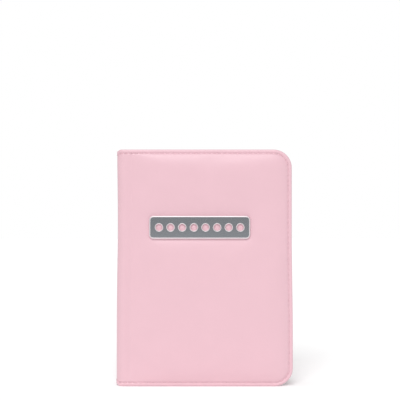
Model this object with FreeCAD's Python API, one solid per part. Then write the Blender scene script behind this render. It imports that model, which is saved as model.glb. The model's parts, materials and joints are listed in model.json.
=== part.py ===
"""Passport holder: a padded bifold cover with a soft spine, card slots, a slip pocket and a passport sleeve.

Millimetres, +Z up. The holder stands on its bottom edges with its spine on the left (-X) and its front
cover facing -Y. Every part is first laid out closed, with the two covers parallel and x = 0 at the outer
face of the spine; place_at_rest() then opens the covers a little and moves the origin to the bottom centre.

Depth is counted in "levels": level 0 is the inner face of a cover's board, and it grows outwards.
"""

import math
import os

import FreeCAD
import Part

# --- Driving dimensions -------------------------------------------------------------------------------
HEIGHT = 140.0
WIDTH = 104.0
SPINE = 15.0  # between the outer planes of the two closed covers
CORNER = 10.8  # outer corner radius at the free edge
FOLD_RADIUS = 4.5  # outside of the two bends of the spine
REST_OPENING = 4.0  # degrees between the covers as the holder stands

# --- Layers of one cover ------------------------------------------------------------------------------
BOARD = 1.0
SKIN = 0.8
TURN_IN = 0.5  # skin pared thin where it is turned over the edge
LINING = 0.4
FOAM = 1.6
BORDER_LEVEL = BOARD + SKIN
PAD_LEVEL = BOARD + FOAM + SKIN
LINING_TOP = -TURN_IN
LINING_FACE = LINING_TOP - LINING
EDGE_ROUND = 0.9
TURN_IN_WIDTH = 9.0
LINING_INSET = 1.8
HALF_BOARD = SPINE / 2 - BORDER_LEVEL  # from the mid-plane to level 0

# --- Creases ------------------------------------------------------------------------------------------
CREASE_GAP = 0.3  # between the skin of the spine and that of a cover
COVER_START = FOLD_RADIUS + CREASE_GAP
BOARD_START = COVER_START + 0.7
LINING_START = COVER_START + 0.4
HINGE_INSET = 1.0  # hinge line, in from both outer planes

# --- Padding ------------------------------------------------------------------------------------------
PAD_START = 10.0
PAD_INSET = 4.2
PAD_SPINE_CORNER = 3.0
PAD_ROUND = 2.0

# --- Seams --------------------------------------------------------------------------------------------
SEAM_INSET = 2.6
THREAD = 0.5
THREAD_SUNK = 0.3
THREAD_PROUD = 0.1

# --- Badge --------------------------------------------------------------------------------------------
BADGE_LENGTH = 60.4
BADGE_HEIGHT = 13.8
BADGE_CORNER = 2.6
BADGE_THICK = 1.4
BADGE_CENTRE = (49.1, 94.0)  # from the spine, above the base
BADGE_BEVEL = 1.1
BADGE_BEVEL_DROP = 0.7
BADGE_HOLES = 8
BADGE_HOLE_PITCH = 6.9
BADGE_HOLE_RADIUS = 1.9
BADGE_HOLE_BEVEL = 0.35
DISH_MARGIN = 2.0
DISH_DEPTH = 0.8
LEG_RADIUS = 0.6
LEG_HOLE_RADIUS = 0.65
LEG_SPACING = (50.0, 8.0)
LEG_END_LEVEL = -0.42
WASHER_RADIUS = 2.2
WASHER_THICK = 0.35

# --- Pockets ------------------------------------------------------------------------------------------
SLIP_START = 7.5
SLIP_GAP = 0.5
SLIP_THICK = 0.5
POCKET_SEAM = 3.0  # sewn band along a pocket's closed sides
SLOT_START = 8.5
SLOT_THICK = 0.6
SLOT_GAP = 0.3
SLOT_TALL = 48.2
SLOT_BASES = (33.8, 17.8, 1.8)  # rear, middle and front slot
SLOT_SEAM = 10.5  # upright seam beside the spine
HEM_SEAM = 1.5  # below a pocket's mouth
SLEEVE_START = 40.0
SLEEVE_GAP = 1.2
SLEEVE_THICK = 0.6
NOTCH_RADIUS = 16.0
NOTCH_OUTSIDE = 6.0  # the notch's centre, out from the sleeve's mouth

UP = FreeCAD.Vector(0, 0, 1)
OUTWARD = FreeCAD.Vector(0, -1, 0)


# --- Outlines and layers ------------------------------------------------------------------------------
def rounded_outline(left, right, low, high, left_radius, right_radius):
    """A face in the XZ plane: a rectangle with one radius for its left corners and one for its right."""
    corners = [
        (left, low, left_radius, 1, 1),
        (right, low, right_radius, -1, 1),
        (right, high, right_radius, -1, -1),
        (left, high, left_radius, 1, -1),
    ]
    ends = []
    edges = []
    for number, (x, z, radius, in_x, in_z) in enumerate(corners):
        along_z = FreeCAD.Vector(x, 0, z + in_z * radius)
        along_x = FreeCAD.Vector(x + in_x * radius, 0, z)
        first, last = (along_z, along_x) if number % 2 == 0 else (along_x, along_z)
        ends.append((first, last))
        if radius > 0:
            bulge = radius * (1 - math.sqrt(0.5))
            middle = FreeCAD.Vector(x + in_x * bulge, 0, z + in_z * bulge)
            edges.append(Part.Arc(first, middle, last).toShape())
    for number in range(len(ends)):
        start = ends[number][1]
        stop = ends[(number + 1) % len(ends)][0]
        edges.append(Part.LineSegment(start, stop).toShape())
    return Part.Face(Part.Wire(Part.__sortEdges__(edges)))


def cover_outline(start, inset):
    """The cover's outline, drawn in by inset on its three free sides and cut straight at start."""
    return rounded_outline(
        start, WIDTH - inset, inset, HEIGHT - inset, 0, CORNER - inset
    )


def layer(outline, low_level, high_level):
    """A solid of the front cover, from an outline and the two levels it lies between."""
    face = outline.copy()
    face.translate(FreeCAD.Vector(0, -(HALF_BOARD + low_level), 0))
    return face.extrude(OUTWARD * (high_level - low_level))


def edges_at_level(solid, level):
    """The edges of a front-cover solid that lie flat at one level."""
    y = -(HALF_BOARD + level)
    return [e for e in solid.Edges if all(abs(v.Y - y) < 1e-4 for v in e.Vertexes)]


def sewn_band(start, inset, width):
    """The three free sides of the cover outline as a band, open towards the spine."""
    return cover_outline(start, inset).cut(cover_outline(start - 1, inset + width))


def upright_rod(x, z, radius, low_level, high_level):
    """A rod square to the front cover, between two levels."""
    base = FreeCAD.Vector(x, -(HALF_BOARD + low_level), z)
    return Part.makeCylinder(radius, high_level - low_level, base, OUTWARD)


def leg_places():
    """The four places where the badge's legs pass through the cover."""
    x, z = BADGE_CENTRE
    half_x, half_z = (side / 2 for side in LEG_SPACING)
    return [(x + sx * half_x, z + sz * half_z) for sx in (-1, 1) for sz in (-1, 1)]


def badge_outline(margin):
    """The badge's outline, grown by margin."""
    x, z = BADGE_CENTRE
    half_x = BADGE_LENGTH / 2 + margin
    half_z = BADGE_HEIGHT / 2 + margin
    radius = BADGE_CORNER + margin
    return rounded_outline(
        x - half_x, x + half_x, z - half_z, z + half_z, radius, radius
    )


def without_leg_holes(solid):
    """The solid drilled for the badge's legs."""
    for x, z in leg_places():
        solid = solid.cut(upright_rod(x, z, LEG_HOLE_RADIUS, -1, PAD_LEVEL))
    return solid


# --- Layers shared by both covers ---------------------------------------------------------------------
def pad_block(inset, top_level, rounding):
    """The raised field, drawn in by inset, with its outer edges rounded."""
    outline = rounded_outline(
        PAD_START + inset,
        WIDTH - PAD_INSET - inset,
        PAD_INSET + inset,
        HEIGHT - PAD_INSET - inset,
        PAD_SPINE_CORNER - inset,
        CORNER - PAD_INSET - inset,
    )
    block = layer(outline, BOARD - rounding, top_level)
    block = block.makeFillet(rounding, edges_at_level(block, top_level))
    below = layer(cover_outline(0, 0), BOARD - 2 * rounding, BOARD)
    return block.cut(below)


def foam_pad(with_badge):
    """The foam under the skin, pressed thinner where the badge sits."""
    foam = pad_block(SKIN, BOARD + FOAM, PAD_ROUND - SKIN)
    if with_badge:
        dish = badge_outline(DISH_MARGIN + SKIN)
        foam = foam.cut(layer(dish, BOARD + FOAM - DISH_DEPTH, PAD_LEVEL))
        foam = without_leg_holes(foam)
    return foam


def seam_thread():
    """The thread of the edge seam, lying in its groove on the outer side."""
    band = sewn_band(COVER_START, SEAM_INSET - THREAD / 2, THREAD)
    return layer(band, BORDER_LEVEL - THREAD_SUNK, BORDER_LEVEL + THREAD_PROUD)


def outer_skin(with_badge):
    """The skin of one cover, turned over the board's three free edges."""
    skin = layer(cover_outline(COVER_START, 0), LINING_TOP, BORDER_LEVEL)
    free = [
        e
        for level in (LINING_TOP, BORDER_LEVEL)
        for e in edges_at_level(skin, level)
        if e.BoundBox.XMax > COVER_START + 1
    ]
    skin = skin.makeFillet(EDGE_ROUND, free)
    skin = skin.cut(layer(cover_outline(0, SKIN), 0, BOARD))
    skin = skin.cut(layer(cover_outline(0, TURN_IN_WIDTH), LINING_TOP, 0))
    skin = skin.fuse(pad_block(0, PAD_LEVEL, PAD_ROUND))
    skin = skin.cut(pad_block(SKIN, BOARD + FOAM, PAD_ROUND - SKIN))
    if with_badge:
        wide = layer(badge_outline(DISH_MARGIN + SKIN), BOARD + FOAM - DISH_DEPTH, PAD_LEVEL)
        dish = layer(badge_outline(DISH_MARGIN), PAD_LEVEL - DISH_DEPTH, PAD_LEVEL)
        skin = skin.fuse(wide).cut(dish)
        skin = without_leg_holes(skin)
    return skin.cut(seam_thread()).removeSplitter()


def board():
    """The stiff board inside a cover."""
    return layer(cover_outline(BOARD_START, SKIN), 0, BOARD)


def lining():
    """The lining cloth, laid over the turned-in skin."""
    return layer(cover_outline(LINING_START, LINING_INSET), LINING_FACE, LINING_TOP)


# --- Badge --------------------------------------------------------------------------------------------
def badge_plate():
    """The cast plate with its bevelled rim, its row of round holes and its four legs."""
    base = PAD_LEVEL - DISH_DEPTH
    top = base + BADGE_THICK
    plate = layer(badge_outline(0), base, top)
    plate = plate.makeChamfer(BADGE_BEVEL_DROP, BADGE_BEVEL, edges_at_level(plate, top))
    x, z = BADGE_CENTRE
    for number in range(BADGE_HOLES):
        across = x + (number - (BADGE_HOLES - 1) / 2) * BADGE_HOLE_PITCH
        plate = plate.cut(upright_rod(across, z, BADGE_HOLE_RADIUS, base, top))
    rims = [
        e
        for e in edges_at_level(plate, top)
        if isinstance(e.Curve, Part.Circle) and abs(e.Curve.Radius - BADGE_HOLE_RADIUS) < 0.01
    ]
    plate = plate.makeChamfer(BADGE_HOLE_BEVEL, rims)
    for leg_x, leg_z in leg_places():
        plate = plate.fuse(upright_rod(leg_x, leg_z, LEG_RADIUS, LEG_END_LEVEL, base))
    return plate.removeSplitter()


def badge_washers():
    """The four washers pushed on to the legs behind the board."""
    washers = []
    for x, z in leg_places():
        disc = upright_rod(x, z, WASHER_RADIUS, -WASHER_THICK, 0)
        washers.append(disc.cut(upright_rod(x, z, LEG_HOLE_RADIUS, -1, 1)))
    return Part.makeCompound(washers)


# --- Pockets of the front cover -----------------------------------------------------------------------
def slip_pocket():
    """A full-height panel sewn on three sides, open beside the spine."""
    low = LINING_FACE - SLIP_GAP - SLIP_THICK
    sheet = layer(cover_outline(SLIP_START, LINING_INSET), low, low + SLIP_THICK)
    band = sewn_band(SLIP_START, LINING_INSET, POCKET_SEAM)
    return sheet.fuse(layer(band, low + SLIP_THICK, LINING_FACE)).removeSplitter()


SLOTS_BASE_LEVEL = LINING_FACE - SLIP_GAP - SLIP_THICK


def slot_level(number):
    """The outer level of a slot's sheet; slot 0 is the rear one."""
    return SLOTS_BASE_LEVEL - SLOT_GAP - number * (SLOT_THICK + SLOT_GAP)


def slot_outline(base, start, inset):
    """A slot's outline: its lower free corner follows the cover's where it reaches that far down."""
    block = rounded_outline(start, WIDTH, base, SLOT_TALL + base, 0, 0)
    return block.common(cover_outline(start - 1, inset))


def card_slots():
    """The three stepped card slots, each sewn on three sides and open at the top."""
    slots = []
    for number, base in enumerate(SLOT_BASES):
        outer = slot_level(number)
        shape = slot_outline(base, SLOT_START, LINING_INSET)
        sheet = layer(shape, outer - SLOT_THICK, outer)
        inner = rounded_outline(
            SLOT_START + POCKET_SEAM,
            WIDTH - LINING_INSET - POCKET_SEAM,
            base + POCKET_SEAM,
            HEIGHT,
            0,
            0,
        )
        slot = sheet.fuse(layer(shape.cut(inner), outer, SLOTS_BASE_LEVEL))
        for behind in slots:
            slot = slot.cut(behind)
        slots.append(slot.removeSplitter())
    return slots


def slot_threads():
    """The hem seam under each slot's mouth and the upright seam on each slot's visible step."""
    runs = []
    for number, base in enumerate(SLOT_BASES):
        face = slot_level(number) - SLOT_THICK
        mouth = base + SLOT_TALL
        is_front = number == len(SLOT_BASES) - 1
        step_low = base + HEM_SEAM if is_front else SLOT_BASES[number + 1] + SLOT_TALL
        across = rounded_outline(
            SLOT_SEAM,
            WIDTH - LINING_INSET - POCKET_SEAM,
            mouth - HEM_SEAM - THREAD / 2,
            mouth - HEM_SEAM + THREAD / 2,
            0,
            0,
        )
        upright = rounded_outline(
            SLOT_SEAM - THREAD / 2,
            SLOT_SEAM + THREAD / 2,
            step_low,
            mouth,
            0,
            0,
        )
        levels = (face - THREAD_PROUD, face + THREAD_SUNK)
        runs.append(layer(across, *levels).fuse(layer(upright, *levels)).removeSplitter())
    return runs


# --- Pocket of the back cover -------------------------------------------------------------------------
def sleeve_outline(margin):
    """The passport sleeve's outline with its thumb notch, its mouth drawn in by margin."""
    whole = cover_outline(SLEEVE_START + margin, LINING_INSET)
    centre = FreeCAD.Vector(SLEEVE_START - NOTCH_OUTSIDE, 0, HEIGHT / 2)
    circle = Part.Circle(centre, OUTWARD, NOTCH_RADIUS + margin)
    return whole.cut(Part.Face(Part.Wire(circle.toShape())))


def sleeve_thread():
    """The hem seam that follows the sleeve's mouth and its notch."""
    face = LINING_FACE - SLEEVE_GAP - SLEEVE_THICK
    run = sleeve_outline(HEM_SEAM - THREAD / 2).cut(sleeve_outline(HEM_SEAM + THREAD / 2))
    ends = rounded_outline(
        0, WIDTH - LINING_INSET - POCKET_SEAM, SEAM_INSET, HEIGHT - SEAM_INSET, 0, 0
    )
    return layer(run.common(ends), face - THREAD_PROUD, face + THREAD_SUNK)


def passport_sleeve():
    """A panel sewn on three sides that takes one cover of the passport from the spine side."""
    low = LINING_FACE - SLEEVE_GAP - SLEEVE_THICK
    sheet = layer(sleeve_outline(0), low, low + SLEEVE_THICK)
    band = sewn_band(SLEEVE_START, LINING_INSET, POCKET_SEAM)
    return sheet.fuse(layer(band, low + SLEEVE_THICK, LINING_FACE)).removeSplitter()


# --- Spine --------------------------------------------------------------------------------------------
def spine_channel(depth, thick, low, high):
    """A channel that follows the spine's round-cornered section, depth in from its outer face."""
    half = SPINE / 2

    def section(inset):
        """The section's outer boundary drawn in by inset, closed along x = FOLD_RADIUS."""
        radius = FOLD_RADIUS - inset
        centre_y = half - FOLD_RADIUS
        tip = [FreeCAD.Vector(FOLD_RADIUS, s * (half - inset), low) for s in (-1, 1)]
        flat = [FreeCAD.Vector(inset, s * centre_y, low) for s in (-1, 1)]
        swing = radius * math.sqrt(0.5)
        middle = [
            FreeCAD.Vector(FOLD_RADIUS - swing, s * (centre_y + swing), low) for s in (-1, 1)
        ]
        edges = [
            Part.Arc(tip[0], middle[0], flat[0]).toShape(),
            Part.LineSegment(flat[0], flat[1]).toShape(),
            Part.Arc(flat[1], middle[1], tip[1]).toShape(),
            Part.LineSegment(tip[1], tip[0]).toShape(),
        ]
        return Part.Face(Part.Wire(edges))

    return section(depth).cut(section(depth + thick)).extrude(UP * (high - low))


def spine_skin():
    """The skin round the spine, turned in at the top and the bottom."""
    skin = spine_channel(0, SKIN, 0, HEIGHT)
    for low in (0, HEIGHT - TURN_IN_WIDTH):
        skin = skin.fuse(spine_channel(SKIN, TURN_IN, low, low + TURN_IN_WIDTH))
    for thread in spine_threads():
        skin = skin.cut(thread)
    return skin.removeSplitter()


def spine_threads():
    """The edge seam where it crosses the spine, at the bottom and at the top."""
    runs = []
    for middle in (SEAM_INSET, HEIGHT - SEAM_INSET):
        low = middle - THREAD / 2
        runs.append(spine_channel(0, THREAD_SUNK, low, low + THREAD))
    return runs


def spine_stiffener():
    """A flexible strip that keeps the flat of the spine straight."""
    half = SPINE / 2 - FOLD_RADIUS
    margin = TURN_IN_WIDTH + CREASE_GAP
    corner = FreeCAD.Vector(SKIN, -half, margin)
    return Part.makeBox(TURN_IN, 2 * half, HEIGHT - 2 * margin, corner)


def spine_lining():
    """The lining where it runs round inside the spine."""
    depth = SKIN + TURN_IN
    return spine_channel(depth, LINING, LINING_INSET, HEIGHT - LINING_INSET)


# --- Assembly -----------------------------------------------------------------------------------------
def to_back_cover(solid):
    """A part of the front cover mirrored to the back cover."""
    return solid.mirror(FreeCAD.Vector(0, 0, 0), FreeCAD.Vector(0, 1, 0))


def front_cover():
    """The nodes that swing with the front cover."""
    rear, middle, front = card_slots()
    threads = slot_threads()
    slots = [slot.cut(thread) for slot, thread in zip((rear, middle, front), threads)]
    return {
        "front_outer_skin": outer_skin(with_badge=True),
        "front_foam_pad": foam_pad(with_badge=True),
        "front_board": without_leg_holes(board()),
        "front_lining": lining(),
        "front_edge_stitching": seam_thread(),
        "badge_plate": badge_plate(),
        "badge_washers": badge_washers(),
        "slip_pocket": slip_pocket(),
        "card_slot_rear": slots[0],
        "card_slot_middle": slots[1],
        "card_slot_front": slots[2],
        "card_slot_stitching": Part.makeCompound(threads),
    }


def spine():
    """The nodes of the spine, between the two creases."""
    return {
        "spine_outer_skin": spine_skin(),
        "spine_stiffener": spine_stiffener(),
        "spine_lining": spine_lining(),
        "spine_edge_stitching": Part.makeCompound(spine_threads()),
    }


def back_cover():
    """The nodes of the back cover."""
    thread = sleeve_thread()
    nodes = {
        "back_outer_skin": outer_skin(with_badge=False),
        "back_foam_pad": foam_pad(with_badge=False),
        "back_board": board(),
        "back_lining": lining(),
        "back_edge_stitching": seam_thread(),
        "passport_sleeve": passport_sleeve().cut(thread),
        "sleeve_stitching": thread,
    }
    return {name: to_back_cover(solid) for name, solid in nodes.items()}


FRONT_HINGE = FreeCAD.Vector(HINGE_INSET, HINGE_INSET - SPINE / 2, 0)
BACK_HINGE = FreeCAD.Vector(HINGE_INSET, SPINE / 2 - HINGE_INSET, 0)


def opening(hinges):
    """The placement that opens a body by half the rest opening about each hinge line in turn."""
    placement = FreeCAD.Placement()
    for hinge in hinges:
        half_opening = FreeCAD.Rotation(UP, REST_OPENING / 2)
        placement = FreeCAD.Placement(FreeCAD.Vector(), half_opening, hinge).multiply(placement)
    return placement


def moved(shape, placement):
    """A copy of the shape, moved."""
    copy = shape.copy()
    copy.Placement = placement.multiply(copy.Placement)
    return copy


def place_at_rest(bodies):
    """Opens the bodies to the rest angle and moves the origin to the bottom centre of the whole."""
    nodes = {
        name: moved(shape, opening(hinges))
        for hinges, shapes in bodies
        for name, shape in shapes.items()
    }
    box = Part.makeCompound(list(nodes.values())).optimalBoundingBox(False)
    to_origin = FreeCAD.Vector(-box.Center.x, -box.Center.y, -box.ZMin)
    shift = FreeCAD.Placement(to_origin, FreeCAD.Rotation())
    return {name: moved(shape, shift) for name, shape in nodes.items()}, to_origin


def main():
    bodies = (
        ([], front_cover()),
        ([FRONT_HINGE], spine()),
        ([BACK_HINGE, FRONT_HINGE], back_cover()),
    )
    nodes, to_origin = place_at_rest(bodies)
    os.makedirs("parts", exist_ok=True)
    for name, shape in nodes.items():
        shape.exportStep(f"parts/{name}.step")
    print("front hinge line at rest:", FRONT_HINGE + to_origin)
    print("back hinge line at rest:", opening([FRONT_HINGE]).multVec(BACK_HINGE) + to_origin)


if __name__ == "__main__":
    main()
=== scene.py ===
"""The looks of a padded passport holder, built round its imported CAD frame.

Sizes are in millimetres and become metres in make_piece(). The covers are laid out closed, as in the CAD
source: s runs along the outer face from the middle of the spine to a cover's free edge, z goes up, and h is
the height above the border's outer face. rest_points() bends that layout to the holder's resting shape.
"""

import json
import math

import bmesh
import bpy
import numpy as np
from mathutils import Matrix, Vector


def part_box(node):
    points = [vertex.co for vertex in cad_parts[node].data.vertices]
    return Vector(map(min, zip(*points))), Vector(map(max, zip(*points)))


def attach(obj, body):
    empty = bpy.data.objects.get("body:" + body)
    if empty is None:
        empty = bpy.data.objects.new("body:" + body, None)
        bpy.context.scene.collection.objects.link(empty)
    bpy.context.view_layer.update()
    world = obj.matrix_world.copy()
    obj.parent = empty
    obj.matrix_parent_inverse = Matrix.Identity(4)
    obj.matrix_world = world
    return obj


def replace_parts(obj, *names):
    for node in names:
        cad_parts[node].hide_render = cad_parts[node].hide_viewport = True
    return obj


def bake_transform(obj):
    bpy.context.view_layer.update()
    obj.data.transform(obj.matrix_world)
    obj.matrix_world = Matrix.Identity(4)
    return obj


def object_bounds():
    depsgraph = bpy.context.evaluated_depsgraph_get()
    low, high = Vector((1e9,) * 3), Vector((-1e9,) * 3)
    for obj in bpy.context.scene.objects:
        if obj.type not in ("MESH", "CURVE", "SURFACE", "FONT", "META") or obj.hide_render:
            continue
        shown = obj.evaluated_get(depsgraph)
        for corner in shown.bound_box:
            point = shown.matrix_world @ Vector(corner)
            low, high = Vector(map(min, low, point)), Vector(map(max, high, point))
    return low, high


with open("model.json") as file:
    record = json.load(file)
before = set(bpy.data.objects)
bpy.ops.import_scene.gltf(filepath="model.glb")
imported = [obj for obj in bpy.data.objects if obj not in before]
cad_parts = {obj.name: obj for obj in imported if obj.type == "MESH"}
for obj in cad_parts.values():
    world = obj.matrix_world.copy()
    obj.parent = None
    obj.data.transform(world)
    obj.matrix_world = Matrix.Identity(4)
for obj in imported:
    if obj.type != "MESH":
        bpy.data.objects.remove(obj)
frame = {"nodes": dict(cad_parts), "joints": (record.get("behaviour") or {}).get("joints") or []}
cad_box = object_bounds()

MM = 0.001
FRONT = -1
BACK = 1

# --- Sizes that the frame gives ---
HINGES = {joint["name"]: np.array(joint["pos_m"][:2]) / MM for joint in frame["joints"]}
FRONT_HINGE = HINGES["front_crease"]
BACK_HINGE = HINGES["back_crease"]
HINGE_INSET = 1.0  # in from the outer faces of cover and spine
SPINE = np.linalg.norm(BACK_HINGE - FRONT_HINGE) + 2 * HINGE_INSET
HALF_OPENING = math.atan2(FRONT_HINGE[0] - BACK_HINGE[0], BACK_HINGE[1] - FRONT_HINGE[1])
CLOSED_HINGE = np.array([HINGE_INSET, HINGE_INSET - SPINE / 2])  # of the front cover
ORIGIN = FRONT_HINGE - CLOSED_HINGE
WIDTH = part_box("front_outer_skin")[1].x / MM - ORIGIN[0]
HEIGHT = (cad_box[1][2] - cad_box[0][2]) / MM

# --- Sizes shared with the CAD source ---
FOLD = 4.5  # outer radius of the spine's two bends
CORNER = 10.8
BORDER_LEVEL = 1.8  # the border's outer face above the board's inner face
COVER_THICK = 2.3  # at the border
SPINE_THICK = 1.3
PAD = 1.6  # the padded field above the border
BADGE_PLACE = (49.1, 94.0)
BADGE_SIZE = (60.4, 13.8)
BADGE_ROUND = 2.6
BADGE_BACK = 0.8
HOLES = 8
HOLE_PITCH = 6.9
LINING_INSET = 1.8

# --- The s axis ---
FLAT = SPINE / 2 - FOLD  # half of the spine's flat
BEND = FOLD * math.pi / 2
COVER_SHIFT = FLAT + BEND - FOLD  # s = x + COVER_SHIFT on a cover
S_EDGE = WIDTH + COVER_SHIFT


# --- From the closed layout to the resting shape ---
def smooth(t):
    """A smooth step from 0 to 1."""
    t = np.clip(t, 0, 1)
    return t * t * (3 - 2 * t)


def bell(distance, width):
    """1 at distance 0, falling away smoothly over width."""
    return np.exp(-((distance / width) ** 2))


def from_ends(z):
    """How far a height lies in from the nearer of top and bottom."""
    return HEIGHT / 2 - np.abs(z - HEIGHT / 2)


def section(s, h):
    """The closed front half's x and y."""
    angle = np.clip((s - FLAT) / FOLD, 0, math.pi / 2)
    x = FOLD - (FOLD + h) * np.cos(angle) + np.maximum(s - FLAT - BEND, 0)
    y = -FLAT - (FOLD + h) * np.sin(angle) + np.maximum(FLAT - s, 0)
    return x, y


def turned(x, y, centre, angle):
    """x and y turned about a centre."""
    dx, dy = x - centre[0], y - centre[1]
    cos, sin = np.cos(angle), np.sin(angle)
    return centre[0] + dx * cos - dy * sin, centre[1] + dx * sin + dy * cos


MIDDLE = 45.0  # the s where the spine side of a cover ends and its free side begins
SPREAD_TOP, SPREAD_RUN = 92.0, 62.0  # the height where the spread begins, and how far down it grows
FREE_SPREAD, FREE_DRAW = 0.65, 0.45  # of the free side: outward at the foot, and inward all along
SPINE_SPREAD = 0.3
WAIST, WAIST_HEIGHT, WAIST_REACH = 0.42, 98.0, 30.0
TUCK, TUCK_REACH = 0.85, 28.0
TUCK_FULL, TUCK_NONE = math.radians(16), math.radians(58)  # of the bend's turn


def flare(s, z):
    """How far along x the soft cover strays from its straight outline: it spreads towards its foot, and the
    spine has a slight waist."""
    low = smooth((SPREAD_TOP - z) / SPREAD_RUN)
    free_side, spine_side = smooth((s - MIDDLE) / 60.0), smooth((MIDDLE - s) / 35.0)
    waist = WAIST * bell(z - WAIST_HEIGHT, WAIST_REACH)
    return (FREE_SPREAD * low - FREE_DRAW) * free_side + (waist - SPINE_SPREAD * low) * spine_side


def spine_tuck(s, z):
    """How far the soft spine is drawn in at its ends, down at the top and up at the foot."""
    angle = np.clip((s - FLAT) / FOLD, 0, math.pi / 2)
    deep = TUCK * smooth((TUCK_NONE - angle) / (TUCK_NONE - TUCK_FULL))
    return np.sign(z - HEIGHT / 2) * deep * smooth(1 - from_ends(z) / TUCK_REACH)


def rest_points(side, s, z, h, rigid=False):
    """Where places of the closed layout are at rest. A rigid place turns with its cover only."""
    s, z, h = (a.astype(float).ravel() for a in np.broadcast_arrays(s, z, h))
    x, y = section(s, h)
    x, z = x + flare(s, z), z - spine_tuck(s, z)
    on_spine = smooth((FOLD - x + y + SPINE / 2) / (2 * FOLD))
    if rigid:
        on_spine = np.zeros_like(x)
    if side == FRONT:
        x, y = turned(x, y, CLOSED_HINGE, HALF_OPENING * on_spine)
    else:
        x, y = turned(x, -y, CLOSED_HINGE * (1, -1), HALF_OPENING * (1 - on_spine))
        x, y = turned(x, y, CLOSED_HINGE, HALF_OPENING)
    return np.stack([x + ORIGIN[0], y + ORIGIN[1], z], axis=1)


# --- Meshes ---
def quads(grid):
    """The faces of a two-dimensional array of vertex numbers."""
    return np.stack([grid[:-1, :-1], grid[1:, :-1], grid[1:, 1:], grid[:-1, 1:]], -1).reshape(-1, 4)


def make_piece(name, points, faces, material, flat, wear=None):
    """A smooth mesh object in metres, with its unrolled coordinates as a UV map."""
    mesh = bpy.data.meshes.new(name)
    mesh.from_pydata((points * MM).tolist(), [], [list(map(int, f)) for f in faces])
    if wear is not None:
        mesh.attributes.new("wear", "FLOAT", "POINT").data.foreach_set("value", wear.astype(np.float32))
    loops = np.zeros(len(mesh.loops), np.int32)
    mesh.loops.foreach_get("vertex_index", loops)
    mesh.uv_layers.new(name="flat").data.foreach_set("uv", (flat * MM)[loops].ravel())
    mesh.materials.append(material)
    mesh.shade_smooth()
    piece = bpy.data.objects.new(name, mesh)
    bpy.context.scene.collection.objects.link(piece)
    return piece


def face_outward(piece, merge=0.0):
    """Turns a closed piece's faces outward, after joining points that lie nearer together than merge."""
    net = bmesh.new()
    net.from_mesh(piece.data)
    if merge:
        bmesh.ops.remove_doubles(net, verts=net.verts, dist=merge * MM)
    bmesh.ops.recalc_face_normals(net, faces=net.faces)
    net.to_mesh(piece.data)
    net.free()


SHARP = math.radians(65)  # edges that turn by more stay crisp


def thicken(piece, thickness):
    """Gives a surface its thickness, inward."""
    solidify = piece.modifiers.new("thickness", "SOLIDIFY")
    solidify.thickness = thickness * MM
    solidify.offset = -1
    solidify.use_even_offset = False
    made = bpy.data.meshes.new_from_object(piece.evaluated_get(bpy.context.evaluated_depsgraph_get()))
    piece.modifiers.clear()
    made.set_sharp_from_angle(angle=SHARP)
    piece.data = made


# --- The cover's outline as a net of rings ---
STEP = 0.65
NET_INSET = 10.4  # inside this the net is a plain grid
ARC_STEPS = 16
FLAT_STEPS = 4
BEND_STEPS = 14
ALONG = np.concatenate([  # places along s, closer together in the bend
    np.linspace(0, FLAT, FLAT_STEPS, endpoint=False),
    np.linspace(FLAT, FLAT + BEND, BEND_STEPS, endpoint=False),
    np.linspace(FLAT + BEND, S_EDGE - CORNER, round((S_EDGE - CORNER - FLAT - BEND) / STEP) + 1),
])


def outline():
    """The outline from the spine's middle at the bottom round to its middle at the top.

    Returns its points (s, z) and the direction inward at each."""
    turn = np.linspace(0, math.pi / 2, ARC_STEPS + 1)[1:]
    up = np.linspace(CORNER, HEIGHT - CORNER, round((HEIGHT - 2 * CORNER) / STEP) + 1)[1:]
    centre = S_EDGE - CORNER
    sin, cos = np.sin(turn), np.cos(turn)
    runs = [
        (ALONG, 0.0, 0.0, 1.0),
        (centre + CORNER * sin, CORNER - CORNER * cos, -sin, cos),
        (S_EDGE, up, -1.0, 0.0),
        (centre + CORNER * cos, HEIGHT - CORNER + CORNER * sin, -cos, -sin),
        (ALONG[-2::-1], HEIGHT, 0.0, -1.0),
    ]
    net = np.concatenate([np.stack(np.broadcast_arrays(*run), 1) for run in runs])
    return net[:, :2], net[:, 2:]


def inner_grid(rim):
    """A grid of places (s, z) inside the rim: rows go up, columns go along s."""
    columns = len(ALONG) - 1 + ARC_STEPS // 2
    rows = len(rim) - 1 - 2 * columns
    bottom, right, top = rim[: columns + 1], rim[columns : columns + rows + 1], rim[columns + rows :][::-1]
    share = (right[:, 1] - right[0, 1]) / (right[-1, 1] - right[0, 1])
    left = np.stack([np.zeros(rows + 1), bottom[0, 1] + share * (top[0, 1] - bottom[0, 1])], 1)
    a = np.linspace(0, 1, columns + 1)[None, :, None]
    b = np.linspace(0, 1, rows + 1)[:, None, None]
    sides = (1 - b) * bottom[None] + b * top[None] + (1 - a) * left[:, None] + a * right[:, None]
    low_corners = (1 - b) * ((1 - a) * bottom[0] + a * bottom[-1])
    high_corners = b * ((1 - a) * top[0] + a * top[-1])
    return sides - low_corners - high_corners


def ringed_net(grid_shape, ring_count):
    """The faces of a grid with rings round its bottom, free side and top, and the grid's rim."""
    rows, columns = grid_shape
    grid = np.arange(rows * columns).reshape(rows, columns)
    rim = np.concatenate([grid[0], grid[1:, -1], grid[-1, -2::-1]])
    rings = rows * columns + np.arange(ring_count * len(rim)).reshape(ring_count, len(rim))
    return np.concatenate([quads(grid), quads(np.concatenate([rim[None], rings])[::-1])])


def free_distance(s, z):
    """How far a place lies in from the top, bottom and free edges."""
    right = np.maximum(s - (S_EDGE - CORNER), 0)
    up = np.maximum(CORNER - from_ends(z), 0)
    straight = np.minimum(S_EDGE - s, from_ends(z))
    return np.where((right > 0) & (up > 0), CORNER - np.hypot(right, up), straight)


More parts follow.
